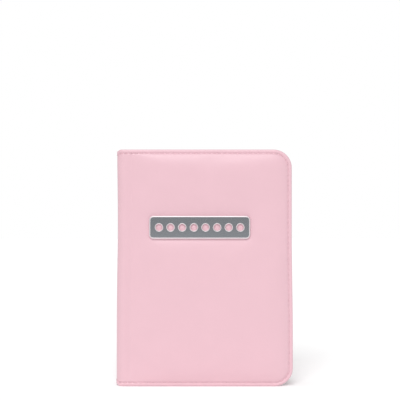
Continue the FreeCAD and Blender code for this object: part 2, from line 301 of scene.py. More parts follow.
# --- The padded field ---
FIELD_STEP = 0.5
PAD_START = 9.0  # from the spine
PAD_RAMP = 12.0  # over which the foam comes up to its full height, from FOAM_THIN of it
FOAM_THIN = 0.15
UNEVEN = 0.035
PRESSED_ROUND = 0.2  # how far round the badge the skin is pressed down with it
SKIN_REACH = 2.2  # how far the skin's tension carries a dent into the foam
SETTLING = 300  # steps
CLOTH_STEP = 2.0
CLOTH_SCALE = 10.0  # the cloth is simulated enlarged, at a size that its settings are made for
CLOTH_FRAMES = 20
CLOTH_PRESSURE = 0.5
CLOTH_STIFFNESS = 400.0
CLOTH_SLACK = 0.002  # how much longer the skin is cut than the foam that it covers
MOST_SWELL = 1.3


def badge_distance(u, z):
    """How far outside the badge a place on the front cover lies, negative inside."""
    du = np.abs(u - BADGE_PLACE[0]) - (BADGE_SIZE[0] / 2 - BADGE_ROUND)
    dz = np.abs(z - BADGE_PLACE[1]) - (BADGE_SIZE[1] / 2 - BADGE_ROUND)
    outside = np.hypot(np.maximum(du, 0), np.maximum(dz, 0))
    return outside + np.minimum(np.maximum(du, dz), 0) - BADGE_ROUND


def unevenness(u, z, side):
    """Soft swells of hand-glued foam."""
    swell = np.cos(u / 13.0 + side) * np.cos(z / 17.0 + 2 * side) + np.cos(u / 7.3 - z / 11.0 + 1.0)
    return UNEVEN * swell


def pad_places(step):
    """A grid of places (u, z) over a cover."""
    return np.meshgrid(np.arange(0, WIDTH + step, step), np.arange(0, HEIGHT + step, step), indexing="ij")


def foam_and_hold(side, u, z):
    """The foam's top, and where and how high the skin is held: at the seam, the crease and the badge."""
    share = FOAM_THIN + (1 - FOAM_THIN) * smooth((u - PAD_START) / PAD_RAMP)
    foam = (PAD + unevenness(u, z, side)) * share
    held = (free_distance(u + COVER_SHIFT, z) < SEAM + 0.1) | (u < PAD_START)
    hold = np.zeros_like(foam)
    if side == FRONT:
        pressed = badge_distance(u, z) < PRESSED_ROUND
        held |= pressed
        hold[pressed] = BADGE_BACK - 0.05
    return foam, held, hold


def swell(side):
    """How far the skin stands off the foam, from a cloth simulation with the air and foam pressing from
    under it, on a grid of CLOTH_STEP."""
    u, z = pad_places(CLOTH_STEP)
    foam, held, hold = foam_and_hold(side, u, z)
    start = np.where(held, hold, foam)
    size = MM * CLOTH_SCALE
    mesh = bpy.data.meshes.new("skin_sheet")
    points = np.stack([u, start, z], -1).reshape(-1, 3) * size
    mesh.from_pydata(points.tolist(), [], quads(np.arange(u.size).reshape(u.shape))[:, ::-1].tolist())
    sheet = bpy.data.objects.new("skin_sheet", mesh)
    scene = bpy.context.scene
    scene.collection.objects.link(sheet)
    group = sheet.vertex_groups.new(name="held")
    group.add(np.flatnonzero(held).tolist(), 1.0, "REPLACE")
    cloth = sheet.modifiers.new("cloth", "CLOTH")
    settings = cloth.settings
    settings.quality = 10
    settings.vertex_group_mass = "held"
    settings.tension_stiffness = CLOTH_STIFFNESS
    settings.compression_stiffness = CLOTH_STIFFNESS
    settings.shear_stiffness = CLOTH_STIFFNESS / 4
    settings.bending_stiffness = 0.5
    settings.air_damping = 4.0
    settings.shrink_min = -CLOTH_SLACK
    settings.use_pressure = True
    settings.uniform_pressure_force = CLOTH_PRESSURE
    settings.effector_weights.gravity = 0
    cloth.collision_settings.use_self_collision = False
    for number in range(1, CLOTH_FRAMES + 1):
        scene.frame_set(number)
    settled = sheet.evaluated_get(bpy.context.evaluated_depsgraph_get()).data
    height = np.zeros(3 * u.size)
    settled.vertices.foreach_get("co", height)
    lift = height.reshape(-1, 3)[:, 1].reshape(u.shape) / size - start
    scene.frame_set(1)
    bpy.data.objects.remove(sheet)
    bpy.data.meshes.remove(mesh)
    return MOST_SWELL * np.tanh(lift / MOST_SWELL)


def padding(side):
    """The skin's height over the foam, settled between seam, crease and badge, on a grid of FIELD_STEP."""
    u, z = pad_places(FIELD_STEP)
    foam, held, hold = foam_and_hold(side, u, z)
    foam = foam + sample(swell(side), u, z, CLOTH_STEP)
    skin = np.where(held, hold, foam)
    pull = (SKIN_REACH / FIELD_STEP) ** 2
    for _ in range(SETTLING):
        around = np.roll(skin, 1, 0) + np.roll(skin, -1, 0) + np.roll(skin, 1, 1) + np.roll(skin, -1, 1)
        skin = np.where(held, skin, (foam + pull * around) / (1 + 4 * pull))
    return skin


def sample(field, u, z, step=FIELD_STEP):
    """A field's value at places between its grid points."""
    i = np.clip(u / step, 0, field.shape[0] - 1.001)
    j = np.clip(z / step, 0, field.shape[1] - 1.001)
    i0, j0 = i.astype(int), j.astype(int)
    a, b = i - i0, j - j0
    low = field[i0, j0] * (1 - a) + field[i0 + 1, j0] * a
    high = field[i0, j0 + 1] * (1 - a) + field[i0 + 1, j0 + 1] * a
    return low * (1 - b) + high * b


# --- The leather ---
STITCH = 3.1
SEAM = 2.3  # seam to edge, a little nearer to it than the CAD's plain thread
BEAD, BEAD_WIDE, BEAD_PLACE = 0.16, 0.75, 1.35  # between edge and seam: height, width, inset
GROOVE_DEEP, GROOVE_WIDE = 0.2, 0.4
PUCKER, PUCKER_INSIDE, PUCKER_OUTSIDE = 0.32, 0.55, 0.6  # depth, and reach each side of the seam
ROLL, ROLL_WIDE, ROLL_PLACE = 0.2, 2.6, 4.8  # beside the spine, the place from its outer face
VALLEY, VALLEY_WIDE, VALLEY_PLACE = 0.05, 1.6, 8.9
HOLE_BULGE, BULGE_WIDE = 0.55, 1.5
BOARD_EDGE, BOARD_RAMP = 6.0, 5.0  # the s over which the border thickens
LEATHER = 0.5


def lengths_along(line):
    """The length from a line's first point to each of its points."""
    return np.concatenate([[0], np.cumsum(np.linalg.norm(np.diff(line, axis=0), axis=1))])


def stitch_places(line):
    """Stitch holes (s, z) along a line."""
    length = lengths_along(line)
    wanted = np.linspace(0, length[-1], round(length[-1] / STITCH) + 1)
    return list(zip(np.interp(wanted, length, line[:, 0]), np.interp(wanted, length, line[:, 1])))


EDGE_LINE, EDGE_INWARD = outline()
SEAM_LINE = EDGE_LINE + SEAM * EDGE_INWARD
SEAM_LENGTH = lengths_along(SEAM_LINE)
STITCHES = round(SEAM_LENGTH[-1] / STITCH)


def cover_thickness(s):
    """The thickness at the border: thin round the spine, thicker where the board begins."""
    return SPINE_THICK + (COVER_THICK - SPINE_THICK) * smooth((s - BOARD_EDGE) / BOARD_RAMP)


def border_shape(distance):
    """The bead between edge and seam, and the groove that the thread pulls."""
    bead = BEAD * bell(distance - BEAD_PLACE, BEAD_WIDE)
    return bead - GROOVE_DEEP * bell(distance - SEAM, GROOVE_WIDE)


def puckers(distance, along):
    """Dimples where the thread goes down, uneven from stitch to stitch, dying out inside the seam."""
    number = along / SEAM_LENGTH[-1] * STITCHES
    uneven = 0.65 + 0.35 * np.sin(number * 2.39) * np.sin(number * 0.71 + 1.0)
    fade = bell(distance - SEAM, np.where(distance > SEAM, PUCKER_INSIDE, PUCKER_OUTSIDE))
    return -PUCKER * uneven * fade * (0.5 + 0.5 * np.cos(2 * math.pi * number)) ** 2


def spine_roll(s, z):
    """The soft roll beside the spine, with the shallow valley where the board begins."""
    ends = smooth((from_ends(z) - SEAM) / 6.0)
    roll = ROLL * bell(s - COVER_SHIFT - ROLL_PLACE, ROLL_WIDE)
    return (roll - VALLEY * bell(s - COVER_SHIFT - VALLEY_PLACE, VALLEY_WIDE)) * ends


def through_holes(s, z):
    """How far the leather stands up into the badge's holes."""
    from_row = np.abs(s - COVER_SHIFT - BADGE_PLACE[0])
    nearest = np.clip(np.floor(from_row / HOLE_PITCH), 0, HOLES / 2 - 1) + 0.5
    from_hole = np.hypot(from_row - nearest * HOLE_PITCH, z - BADGE_PLACE[1])
    return HOLE_BULGE * bell(from_hole, BULGE_WIDE)


def outer_height(field, side, s, z, distance, along):
    """The height of the leather's outer face."""
    height = sample(field, s - COVER_SHIFT, z) * smooth((s - COVER_SHIFT - PAD_START + 1.0) / 1.5)
    if side == FRONT:
        height = height + through_holes(s, z)
    return height + border_shape(distance) + puckers(distance, along) + spine_roll(s, z)


RING_INSETS = [9.9, 9.3, 8.6, 7.8, 7.0, 6.3, 5.7, 5.1, 4.6, 4.1, 3.6, 3.15, 2.8, 2.52, 2.3, 2.1, 1.85, 1.5]
ROLL_STEPS = 10
TURN_IN = [2.2, 3.6, 5.5]
WORN_EDGE = 1.6  # how far in the edge is rubbed


def cover_leather(name, side, field, material):
    """The skin of one cover and half of the spine, from the padded field round the rolled edge to the
    turned-in margin under the lining."""
    grid = inner_grid(EDGE_LINE + NET_INSET * EDGE_INWARD)
    s, z = grid.reshape(-1, 2).T
    zero = np.zeros_like(s)
    height = outer_height(field, side, s, z, free_distance(s, z), zero)
    rows = [np.stack([s, z, height, s, z, zero], 1)]  # a place, its height, it unrolled, its wear

    def add_ring(inset, height, unrolled):
        place, flat = (EDGE_LINE + np.reshape(i, (-1, 1)) * EDGE_INWARD for i in (inset, unrolled))
        wear = bell(unrolled, WORN_EDGE)
        rows.append(np.stack(np.broadcast_arrays(*place.T, height, *flat.T, wear), 1))

    for inset in RING_INSETS:
        s, z = (EDGE_LINE + inset * EDGE_INWARD).T
        add_ring(inset, outer_height(field, side, s, z, inset, SEAM_LENGTH), inset)
    radius = cover_thickness(EDGE_LINE[:, 0]) / 2
    for angle in np.linspace(0, math.pi, ROLL_STEPS + 1):
        height = border_shape(1.2) * (1 + math.cos(angle)) / 2 - radius * (1 - math.cos(angle))
        add_ring(radius * (1 - math.sin(angle)), height, radius * (1 - angle))
    for inset in TURN_IN:
        add_ring(inset, -2 * radius, radius * (2 - math.pi) - inset)
    s, z, height, flat_s, flat_z, wear = np.concatenate(rows).T
    faces = ringed_net(grid.shape[:2], len(rows) - 1)
    if side == FRONT:
        faces = faces[:, ::-1]
    flat = np.stack([flat_s * side, flat_z], 1)
    piece = make_piece(name, rest_points(side, s, z, height), faces, material, flat, wear)
    thicken(piece, LEATHER)
    return piece


# --- Closed sheets and pads over a cover ---
EDGE_SOFT = 0.18  # how far in a sheet's rounded edge reaches
EDGE_LEFT = 0.45  # the share of its thickness that is left at the edge
SHEET_STEP = 1.6
CORNER_STEPS = 12


def upright(s):
    """An edge that stands straight up at s, for an outline."""

    def edge(z):
        return np.full_like(z, s)

    return edge


def free_side(inset):
    """The free edge's s at a height z, for an outline drawn in by inset."""
    radius = CORNER - inset

    def side(z):
        up = np.clip(radius + inset - from_ends(z), 0, radius)
        return S_EDGE - CORNER + np.sqrt(radius**2 - up**2)

    return side


def row_places(low, high, corner):
    """Places along z, closer together in the corners and with a narrow first and last row."""
    if corner:
        turn = np.linspace(0, math.pi / 2, CORNER_STEPS + 1)[1:]
        ends = corner * (1 - np.cos(turn))
    else:
        ends = np.array([1.0, 2.0])
    count = round((high - low - 2 * ends[-1]) / SHEET_STEP) + 1
    middle = np.linspace(low + ends[-1], high - ends[-1], count)
    start = np.concatenate([[0, EDGE_SOFT * 0.4, EDGE_SOFT], ends[:-1][ends[:-1] > EDGE_SOFT * 1.5]])
    return np.concatenate([low + start, middle, (high - start)[::-1]])


def column_shares(length):
    """Shares across a row, with a narrow first and last column."""
    inner = np.linspace(0, 1, round(length / SHEET_STEP) + 1)[1:-1]
    soft = EDGE_SOFT / length
    return np.concatenate([[0, soft * 0.4, soft], inner, [1 - soft, 1 - soft * 0.4, 1]])


def closed_sheet(name, side, rows, left, right, faces_of, material, rigid=True, joined=False):
    """A closed thin piece; faces_of(s, z) gives its lower and upper height. A joined one goes on past its
    first column as another piece, so its edge isn't rounded there."""
    starts, stops = left(rows), right(rows)
    shares = column_shares(float(np.max(stops - starts)))
    s = starts[:, None] + shares[None] * (stops - starts)[:, None]
    z = np.broadcast_to(rows[:, None], s.shape)
    low, high = faces_of(s, z)
    from_edges = [stops[:, None] - s, z - rows[0], rows[-1] - z]
    if not joined:
        from_edges.append(s - starts[:, None])
    inside = np.minimum.reduce(from_edges)
    middle, half = (low + high) / 2, (high - low) / 2
    share = np.clip(inside / EDGE_SOFT, 0, 1)
    half = half * (EDGE_LEFT + (1 - EDGE_LEFT) * np.sqrt(1 - (1 - share) ** 2))
    top = np.arange(s.size).reshape(s.shape)
    base = top + s.size

    def wall(line):
        return quads(np.stack([line, line + s.size]))

    walls = [wall(top[0]), wall(top[-1, ::-1]), wall(top[::-1, 0]), wall(top[:, -1])]
    faces = np.concatenate([quads(top), quads(base[::-1]), *walls])
    s2, z2 = np.tile(s.ravel(), 2), np.tile(z.ravel(), 2)
    h2 = np.concatenate([(middle + half).ravel(), (middle - half).ravel()])
    flat = np.stack([s2, z2], 1) * (side, 1)
    piece = make_piece(name, rest_points(side, s2, z2, h2, rigid), faces, material, flat)
    face_outward(piece)
    if joined:
        piece.data.set_sharp_from_angle(angle=SHARP)
    return piece


def foam_pad(name, side, field, material):
    """The foam between the skin and the board."""
    inset = SEAM + 1.0

    def faces_of(s, z):
        top = sample(field, s - COVER_SHIFT, z)
        return np.full_like(top, -PAD / 2), np.maximum(top - LEATHER - 0.05, -PAD / 2 + 0.02)

    rows = row_places(inset, HEIGHT - inset, CORNER - inset)
    start = upright(PAD_START + 0.5 + COVER_SHIFT)
    piece = closed_sheet(name, side, rows, start, free_side(inset), faces_of, material)
    return piece


LINED = (LINING_INSET, HEIGHT - LINING_INSET, CORNER - LINING_INSET)  # its foot, top and corner radius
LINING = 0.4
LINING_SLACK, SLACK_WIDE = 0.35, 2.6  # of its fold in the bend


def lining_heights(s, z):
    """The lining's two faces, the same all along z: on the turned-in skin, with a soft fold in the bend."""
    under = -cover_thickness(s)
    slack = -LINING_SLACK * bell(s - FLAT - BEND / 2, SLACK_WIDE)
    return under + slack - LINING, under + slack - 0.02


def sewn_sheet(name, side, low, high, corner, start, faces_of, material, slot, **closing):
    """A lining or a pocket's panel, from its start to the free edge and from low to high."""
    rows = row_places(low, high, corner)
    piece = closed_sheet(name, side, rows, start, free_side(LINING_INSET), faces_of, material, **closing)
    width = S_EDGE - LINING_INSET - float(np.min(start(rows)))
    return piece


# --- Pockets ---
HEM, HEM_THICK = 3.2, 0.22
HEM_SEAM, HEM_GROOVE = 1.5, 0.16
SEWN_BAND, LOOSE_RAMP = 3.0, 8.0  # where a pocket is sewn down, and over which it comes free
SEWN_LEVEL = -0.92  # of a sewn pocket's outer face; levels count from the board's inner face
SLIP_THICK, SLIP_LOOSE = 0.48, 0.48
SLIP_FREE, SLIP_FREE_RAMP = 88.0, 6.0  # the card slots hold the slip pocket off the lining below this
SLEEVE_THICK, SLEEVE_LOOSE = 0.58, 1.18
SLOT_BOW, SLEEVE_BOW = 0.25, 0.35
SLIP_END = 4.5  # where the slip pocket's hem seam ends, in from its top and bottom
SLIP_START = 7.5 + COVER_SHIFT
SLOT_START = 8.5 + COVER_SHIFT
SLOT_SEAM = 10.5 + COVER_SHIFT
SLOT_TALL = 48.2
SLOT_NAMES = ("rear", "middle", "front")
SLOT_BASES = (33.8, 17.8, 1.8)
SLOTS_LEVEL = -1.9  # of the slip pocket's inner face, which the slots lie on
SLOT_THICK = 0.6
SLOT_RISE = 0.9
SLOT_GAP = 0.3
PINCH = 0.52  # a slot's thickness where it is sewn
SLEEVE_START = 40.0 + COVER_SHIFT
NOTCH_RADIUS = 16.0
NOTCH_OUTSIDE = 6.0


def level(value):
    """The height of a level."""
    return value - BORDER_LEVEL


def hem(distance):
    """The extra thickness of a turned hem, with the groove of its seam."""
    return HEM_THICK * smooth((HEM - distance) / 0.5) - HEM_GROOVE * bell(distance - HEM_SEAM, 0.45)


def relaxed(distance):
    """0 where a pocket is sewn down and 1 where it lies free."""
    return smooth((distance - SEWN_BAND) / LOOSE_RAMP)


def slip_heights(s, z):
    """The slip pocket's panel: sewn on three sides above the card slots, hemmed beside the spine."""
    free = np.maximum(relaxed(free_distance(s, z)), smooth((SLIP_FREE - z) / SLIP_FREE_RAMP))
    outer = level(SEWN_LEVEL - SLIP_LOOSE * free)
    return outer - SLIP_THICK - hem(s - SLIP_START), outer


def slot_faces(number):
    """The faces of one card slot: pressed together where it is sewn, bowed at its mouth."""
    mouth = SLOT_BASES[number] + SLOT_TALL

    def faces_of(s, z):
        sides = np.minimum(free_distance(s, z), s - SLOT_START + 1.0)
        free = relaxed(np.minimum(sides, z - SLOT_BASES[number] + 1.0))
        pinched = level(SLOTS_LEVEL - number * PINCH - 0.02)
        loose = level(SLOTS_LEVEL - SLOT_GAP - number * SLOT_RISE)
        outer = pinched + (loose - pinched) * free
        bow = SLOT_BOW * bell(mouth - z, 8.0) * smooth((sides - 6.0) / 30.0)
        thick = SLOT_THICK - (SLOT_THICK - PINCH + 0.03) * (1 - free)
        return outer - thick - bow * 0.6 - hem(mouth - z) * 0.6, outer - bow * 0.6

    return faces_of


def sleeve_mouth(z):
    """The s of the passport sleeve's mouth, with its thumb notch."""
    notch = NOTCH_RADIUS**2 - (z - HEIGHT / 2) ** 2
    return np.maximum(SLEEVE_START, SLEEVE_START - NOTCH_OUTSIDE + np.sqrt(np.maximum(notch, 0)))


def sleeve_heights(s, z):
    """The passport sleeve's faces: sewn on three sides, its mouth a little open."""
    free = relaxed(free_distance(s, z))
    bow = SLEEVE_BOW * bell(s - sleeve_mouth(z), 14.0) * free
    outer = level(SEWN_LEVEL - SLEEVE_LOOSE * free) - bow
    return outer - SLEEVE_THICK - hem(s - sleeve_mouth(z)), outer


# --- Thread ---
THREAD_RADIUS = 0.24
THREAD_PLY = 0.2  # how far the two plies stand apart, as a share of the radius
THREAD_TWIST = 2.6  # half turns in one stitch
THREAD_RINGS = 11
THREAD_SIDES = 10
THREAD_ARCH, THREAD_DIVE = 0.13, 0.42  # how high a stitch stands, and how deep its ends go
THREAD_SHARE = 0.84  # of the way from hole to hole


def one_stitch(at, along, length, face, outward):
    """The points of one stitch in (s, z, h): a twisted two-ply strand that dives in at both ends."""
    t = np.linspace(-1, 1, THREAD_RINGS)[:, None]
    angle = np.linspace(0, 2 * math.pi, THREAD_SIDES, endpoint=False)[None]
    plies = 1 + THREAD_PLY * np.cos(2 * (angle - THREAD_TWIST * math.pi / 2 * t))
    radius = THREAD_RADIUS * plies * np.sqrt(np.maximum(1 - 0.75 * t**6, 0.05))
    arch = THREAD_ARCH * (1 - t**2) - THREAD_DIVE * np.abs(t) ** 5
    across = np.array([-along[1], along[0]])
    side = radius * np.cos(angle)
    lift = arch + radius * np.sin(angle) * 0.85
    s = at[0] + along[0] * length / 2 * t + across[0] * side
    z = at[1] + along[1] * length / 2 * t + across[1] * side
    h = face + outward * lift
    return np.stack([s, z, np.broadcast_to(h, s.shape)], -1).reshape(-1, 3)


def stitch_faces():
    """The faces of one stitch, closed at both ends."""
    grid = np.arange(THREAD_RINGS * THREAD_SIDES).reshape(THREAD_RINGS, THREAD_SIDES)
    around = quads(np.concatenate([grid, grid[:, :1]], 1)).tolist()
    return around + [grid[0].tolist(), grid[-1][::-1].tolist()]


def stitches(name, side, runs, material, rigid):
    """A run is a list of (s, z, face height, +1 outward or -1 inward) along the seam, one stitch apart."""
    points, faces, flat = [], [], []
    pattern = stitch_faces()
    for run in runs:
        for first, last in zip(run[:-1], run[1:]):
            start, stop = np.array(first[:2]), np.array(last[:2])
            gap = np.linalg.norm(stop - start)
            along = (stop - start) / gap
            middle, height = (start + stop) / 2, (first[2] + last[2]) / 2
            made = one_stitch(middle, along, gap * THREAD_SHARE, height, first[3])
            faces += [[i + len(points) * len(made) for i in face] for face in pattern]
            points.append(made)
            flat.append(made[:, :2])
    made = np.concatenate(points)
    piece = make_piece(
        name, rest_points(side, made[:, 0], made[:, 1], made[:, 2], rigid), faces, material,
        np.concatenate(flat) * (side, 1),
    )
    face_outward(piece)
    return piece


def inner_face(side, s, z):
    """The height of the innermost layer at the edge seam."""
    layers = [(lining_heights, 0, HEIGHT)]
    if side == FRONT:
        layers.append((slip_heights, SLIP_START, HEIGHT))
        layers += [(slot_faces(n), SLOT_START, base + SLOT_TALL) for n, base in enumerate(SLOT_BASES)]
    else:
        layers.append((sleeve_heights, SLEEVE_START, HEIGHT))
    reached = [faces_of for faces_of, start, top in layers if s >= start and z <= top]
    return float(reached[-1](np.array(s), np.array(z))[0])


def edge_stitches(name, side, material):
    """The edge seam, seen outside on the leather and inside on the lining and pockets."""
    places = stitch_places(SEAM_LINE)
    outside = [(s, z, border_shape(SEAM) + 0.12, 1) for s, z in places]
    inside = [(s, z, inner_face(side, s, z) - 0.02, -1) for s, z in places]
    return stitches(name, side, [outside, inside], material, rigid=False)


def inner_run(places, faces_of):
    """A run of stitches through those holes, on the inner one of a piece's two faces."""
    return [(s, z, float(faces_of(np.array(s), np.array(z))[0]) + 0.06, -1) for s, z in places]


def straight_run(start, stop, faces_of):
    """A run of stitches along a straight inner seam."""
    count = max(2, round(math.dist(start, stop) / STITCH) + 1)
    return inner_run(np.linspace(start, stop, count), faces_of)


def slot_runs():
    """The hem seam and the side seam of each card slot."""
    runs = []
    right = S_EDGE - LINING_INSET - 1.0
    lowest = SLOT_BASES[-1] + HEM_SEAM + 1.0
    next_mouths = [base + SLOT_TALL for base in SLOT_BASES[1:]] + [lowest]
    for number, (base, below) in enumerate(zip(SLOT_BASES, next_mouths)):
        seam = base + SLOT_TALL - HEM_SEAM
        runs.append(straight_run((SLOT_SEAM, seam), (right, seam), slot_faces(number)))
        runs.append(straight_run((SLOT_SEAM, seam), (SLOT_SEAM, below), slot_faces(number)))
    slip_seam = SLIP_START + HEM_SEAM
    runs.append(straight_run((slip_seam, SLIP_END), (slip_seam, HEIGHT - SLIP_END), slip_heights))
    return runs


def sleeve_runs():
    """The seam that follows the sleeve's mouth and its notch."""
    z = np.linspace(SEAM + 1.0, HEIGHT - SEAM - 1.0, 900)
    line = np.stack([sleeve_mouth(z), z], 1)
    direction = np.gradient(line, axis=0)
    direction /= np.linalg.norm(direction, axis=1)[:, None]
    line = line + HEM_SEAM * np.stack([direction[:, 1], -direction[:, 0]], 1)
    return [inner_run(stitch_places(line), sleeve_heights)]


# --- The badge ---
BADGE_FACE = 1.36  # over the plate's back
BADGE_RIM_WIDE = 0.85
BADGE_RIM = [  # its round-over: how far out from the face, and how high over the back
    (0.0, BADGE_FACE), (0.1, 1.43), (0.22, 1.44), (0.45, 1.34),
    (0.65, 1.14), (0.78, 0.86), (0.84, 0.55), (BADGE_RIM_WIDE, 0.0),
]
CELL_STEPS = 8  # points along each side of a hole's cell
HOLE_CELL = 8.0
HOLE_RIM = [  # the same round a hole, with the radius
    (2.5, BADGE_FACE), (2.42, 1.41), (2.28, 1.4), (2.12, 1.28), (2.0, 1.12), (1.92, 0.9), (1.9, 0.0),
]
RIM_ARC_STEPS = 6
LEG_SPACING = (50.0, 8.0)
LEG_RADIUS = 0.6
LEG_REACH = 3.0


def rounded_loop(half_x, half_z, radius, across, upward, arc):
    """A rounded rectangle's points from its lower left corner's middle; arc steps belong to each corner."""
    points = []
    corners = [(1, -1, -90), (1, 1, 0), (-1, 1, 90), (-1, -1, 180)]
    lengths = [across, upward, across, upward]
    previous = np.array([-half_x + radius, -half_z])
    for (cx, cz, angle), count in zip(corners, lengths):
        centre = np.array([cx * (half_x - radius), cz * (half_z - radius)])
        angles = np.radians(np.linspace(angle, angle + 90, arc + 1))
        ring = centre + radius * np.stack([np.cos(angles), np.sin(angles)], 1)
        points.append(np.linspace(previous, ring[0], count - arc + 1)[1:])
        points.append(ring[1:])
        previous = ring[-1]
    loop = np.concatenate(points)
    return np.roll(loop, arc // 2, axis=0)


def cell_square(centre):
    """The points round a hole's cell, from its lower left corner."""
    half_x, half_z = HOLE_PITCH / 2, HOLE_CELL / 2
    t = np.linspace(-1, 1, CELL_STEPS + 1)[:-1]
    one = np.ones_like(t)
    sides = [(t, -one), (one, t), (-t, one), (-one, -t)]
    return np.concatenate([np.stack([centre + half_x * x, half_z * z], 1) for x, z in sides])


def badge_mesh():
    """The plate as points (x, z, height over its back), its faces, and 1 for each face of a cut edge."""
    points, faces, cut = [], [], []

    def add_strip(loops, is_cut):
        count = len(loops[0][0])
        start = sum(len(p) for p in points)
        for loop, height in loops:
            points.append(np.column_stack([loop, np.full(count, height)]))
        grid = start + np.arange(len(loops) * count).reshape(len(loops), count)
        grid = np.concatenate([grid, grid[:, :1]], 1)
        made = quads(grid).tolist()
        faces.extend(made)
        cut.extend(is_cut[i // count] for i in range(len(made)))

    turn = np.radians(-135 + np.arange(4 * CELL_STEPS) * 90 / CELL_STEPS)
    circle = np.stack([np.cos(turn), np.sin(turn)], 1)
    for number in range(HOLES):
        centre = (number - (HOLES - 1) / 2) * HOLE_PITCH
        square = cell_square(centre)
        wall = [(circle * radius + (centre, 0), height) for radius, height in HOLE_RIM]
        between = (square + wall[0][0]) / 2
        add_strip([(square, BADGE_FACE), (between, BADGE_FACE)] + wall, [0, 0] + [1] * (len(wall) - 1))
        add_strip([wall[-1], (between, 0.0), (square, 0.0)], [0, 0])
    across, upward = HOLES * CELL_STEPS, CELL_STEPS
    half_x, half_z = BADGE_SIZE[0] / 2 - BADGE_RIM_WIDE, BADGE_SIZE[1] / 2 - BADGE_RIM_WIDE
    cells = rounded_loop(HOLES * HOLE_PITCH / 2, HOLE_CELL / 2, 0.0, across, upward, 0)
    radius = BADGE_ROUND - BADGE_RIM_WIDE
    rim = [
        (rounded_loop(half_x + out, half_z + out, radius + out, across, upward, RIM_ARC_STEPS), height)
        for out, height in BADGE_RIM
    ]
    add_strip([(cells, BADGE_FACE)] + rim + [(cells, 0.0)], [0] + [1] * (len(rim) - 1) + [0])
    for x in (-LEG_SPACING[0] / 2, LEG_SPACING[0] / 2):
        for z in (-LEG_SPACING[1] / 2, LEG_SPACING[1] / 2):
            shoulder = LEG_RADIUS * 0.25 - LEG_REACH
            profile = [
                (0.01, 0.05), (LEG_RADIUS, 0.05), (LEG_RADIUS, shoulder),
                (LEG_RADIUS * 0.8, -LEG_REACH), (0.01, -LEG_REACH),
            ]
            add_strip([(circle * radius + (x, z), height) for radius, height in profile], [0] * 4)
    return np.concatenate(points), faces, cut


def make_badge():
    """The metal badge on the front cover, with its rounded rim and its row of round holes."""
    local, faces, cut = badge_mesh()
    s = local[:, 0] + BADGE_PLACE[0] + COVER_SHIFT
    z = local[:, 1] + BADGE_PLACE[1]
    points = rest_points(FRONT, s, z, BADGE_BACK + local[:, 2], rigid=True)
    piece = make_piece("badge", points, faces, FACE_METAL, np.stack([s, z], 1))
    piece.data.materials.append(CUT_METAL)
    piece.data.polygons.foreach_set("material_index", cut)
    face_outward(piece, merge=0.005)
    piece.data.set_sharp_from_angle(angle=math.radians(24))
    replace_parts(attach(piece, "front_cover"), "badge_plate")


# --- Materials ---
class Recipe:
    """A node material whose textures lie in metres, on the unrolled leather or on the object itself."""

    def __init__(self, name, color, roughness, unrolled=True):
        self.material = bpy.data.materials.new(name)
        self.material.use_nodes = True
        self.tree = self.material.node_tree
        self.shader = self.tree.nodes["Principled BSDF"]
        self.shader.inputs["Base Color"].default_value = (*color, 1)
        self.shader.inputs["Roughness"].default_value = roughness
        self.color = color
        self.roughness = roughness
        if unrolled:
            source = self.node("ShaderNodeUVMap")
            source.uv_map = "flat"
            self.place = source.outputs["UV"]
        else:
            self.place = self.node("ShaderNodeTexCoord").outputs["Object"]

    def node(self, kind, **values):
        made = self.tree.nodes.new(kind)
        for key, value in values.items():
            setattr(made, key, value)
        return made

    def link(self, output, target):
        self.tree.links.new(output, target)

    def math(self, operation, first, second):
        """A math node of two numbers, each an output or a value."""
        made = self.node("ShaderNodeMath", operation=operation)
        for socket, value in zip(made.inputs, (first, second)):
            if isinstance(value, (int, float)):
                socket.default_value = value
            else:
                self.link(value, socket)
        return made.outputs[0]

    def noise(self, size_mm, detail=3.0, rough=0.55):
        """Noise with features of about that size, from 0 to 1."""
        made = self.node("ShaderNodeTexNoise", noise_dimensions="3D")
        made.inputs["Scale"].default_value = 1 / (size_mm * MM)
        made.inputs["Detail"].default_value = detail
        made.inputs["Roughness"].default_value = rough
        self.link(self.place, made.inputs["Vector"])
        return made.outputs["Fac"]

    def cells(self, size_mm):
        """The distance to the edges of a cell pattern, for the creases of grain."""
        made = self.node("ShaderNodeTexVoronoi", feature="DISTANCE_TO_EDGE")
        made.inputs["Scale"].default_value = 1 / (size_mm * MM)
        self.link(self.place, made.inputs["Vector"])
        return made.outputs["Distance"]

    def ramp(self, value, low, high):
        """A value spread from low..high to 0..1."""
        made = self.node("ShaderNodeMapRange")
        made.inputs["From Min"].default_value = low
        made.inputs["From Max"].default_value = high
        self.link(value, made.inputs["Value"])
        return made.outputs["Result"]

    def tint(self, value, low, high):
        """The base colour, between two multiples of itself as value goes from 0 to 1."""
        made = self.node("ShaderNodeMix", data_type="RGBA")
        made.inputs["A"].default_value = (*(c * low for c in self.color), 1)
        made.inputs["B"].default_value = (*(min(1, c * high) for c in self.color), 1)
        self.link(value, made.inputs["Factor"])
        self.link(made.outputs["Result"], self.shader.inputs["Base Color"])

    def vary_roughness(self, value, spread):
        """Roughness that swings by spread about its mean."""
        shift = self.math("MULTIPLY_ADD", value, 2 * spread)
        shift.node.inputs[2].default_value = self.roughness - spread
        self.link(shift, self.shader.inputs["Roughness"])

    def bump(self, value, deep_mm, normal=None):
        """A bump of that depth; bumps chain through normal."""
        made = self.node("ShaderNodeBump")
        made.inputs["Strength"].default_value = 1.0
        made.inputs["Distance"].default_value = deep_mm * MM
        self.link(value, made.inputs["Height"])
        if normal is not None:
            self.link(normal, made.inputs["Normal"])
        self.link(made.outputs["Normal"], self.shader.inputs["Normal"])
        return made.outputs["Normal"]


PINK = (0.697, 0.448, 0.502)


